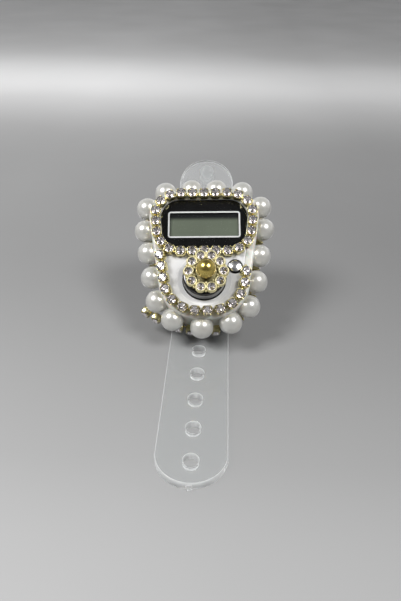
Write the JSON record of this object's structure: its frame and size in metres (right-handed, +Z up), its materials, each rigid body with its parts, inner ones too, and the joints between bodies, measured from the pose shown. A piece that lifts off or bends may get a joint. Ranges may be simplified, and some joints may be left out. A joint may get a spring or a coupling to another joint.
{
  "type": "digital tasbih counter",
  "caption": "Finger tally counter with a small LCD, count and reset buttons, pearl rim, stone-set gold chains and a clear strap, leaning on the bow of its strap.",
  "frame": {"origin": "point on the table under the strap, straight below the case's lower back edge", "axes": "+X to the viewer's right, +Y along the strap away from the viewer, +Z up"},
  "size_m": [0.0376, 0.0921, 0.0353],
  "materials": {
    "case_white": "glossy white moulding",
    "lens_clear": "clear acrylic",
    "lens_black": "black print",
    "lcd_grey": "grey display glass",
    "connector_rubber": "layered silicone",
    "board_green": "coated glass fibre",
    "resin_black": "potting resin",
    "steel": "plain steel",
    "cell_steel": "nickel-plated steel",
    "contact_metal": "spring metal",
    "chrome": "plated plastic",
    "pearl_white": "pearl lacquer",
    "pearl_gold": "gold pearl lacquer",
    "glue_white": "set hot glue",
    "gold_plate": "polished gold plate",
    "clear_stone": "cut glass",
    "strap_clear": "clear soft PVC"
  },
  "bodies": {
    "counter": {"front_case": "case_white", "back_cover": "case_white", "battery_door": "case_white", "battery_door_screw": "steel", "case_screws": "steel", "display_lens": "lens_clear", "lens_mask": "lens_black", "lcd_front_glass": "lcd_grey", "lcd_rear_glass": "lcd_grey", "display_connector": "connector_rubber", "circuit_board": "board_green", "board_screws": "steel", "chip_cap": "resin_black", "board_components": "resin_black", "count_dome": "steel", "reset_dome": "steel", "battery_cell": "cell_steel", "battery_minus_contact": "contact_metal", "battery_plus_contact": "contact_metal", "rim_pearls": "pearl_white", "pearl_glue": "glue_white", "screen_chain_cups": "gold_plate", "screen_chain_stones": "clear_stone", "dial_chain_cups": "gold_plate", "dial_chain_stones": "clear_stone", "side_chain_cups": "gold_plate", "side_chain_stones": "clear_stone", "strap_keeper": "case_white", "keeper_screws": "steel", "strap_band": "strap_clear", "strap_stud": "strap_clear"},
    "count_key": {"count_button": "chrome", "flower_setting": "gold_plate", "flower_stones": "clear_stone", "flower_pearl": "pearl_gold"},
    "reset_key": {"reset_button": "chrome"},
    "strap_end": {"strap_tail": "strap_clear"}
  },
  "joints": [
    {"name": "count_press", "type": "slide", "parent": "counter", "child": "count_key", "axis": [0, 0.6225, -0.7826], "range_m": [0, 0.0006], "stiffness_N_per_m": 1500, "springref_m": -0.0002, "deforming": ["count_dome"]},
    {"name": "reset_press", "type": "slide", "parent": "counter", "child": "reset_key", "axis": [0, 0.6225, -0.7826], "range_m": [0, 0.00045], "stiffness_N_per_m": 1500, "springref_m": -0.0002, "deforming": ["reset_dome"]},
    {"name": "strap_bend", "type": "hinge", "parent": "counter", "child": "strap_end", "pos_m": [0, -0.013, 0.002], "axis": [-1, 0, 0], "range_deg": [0, 75], "stiffness_Nm_per_rad": 0.013}
  ]
}
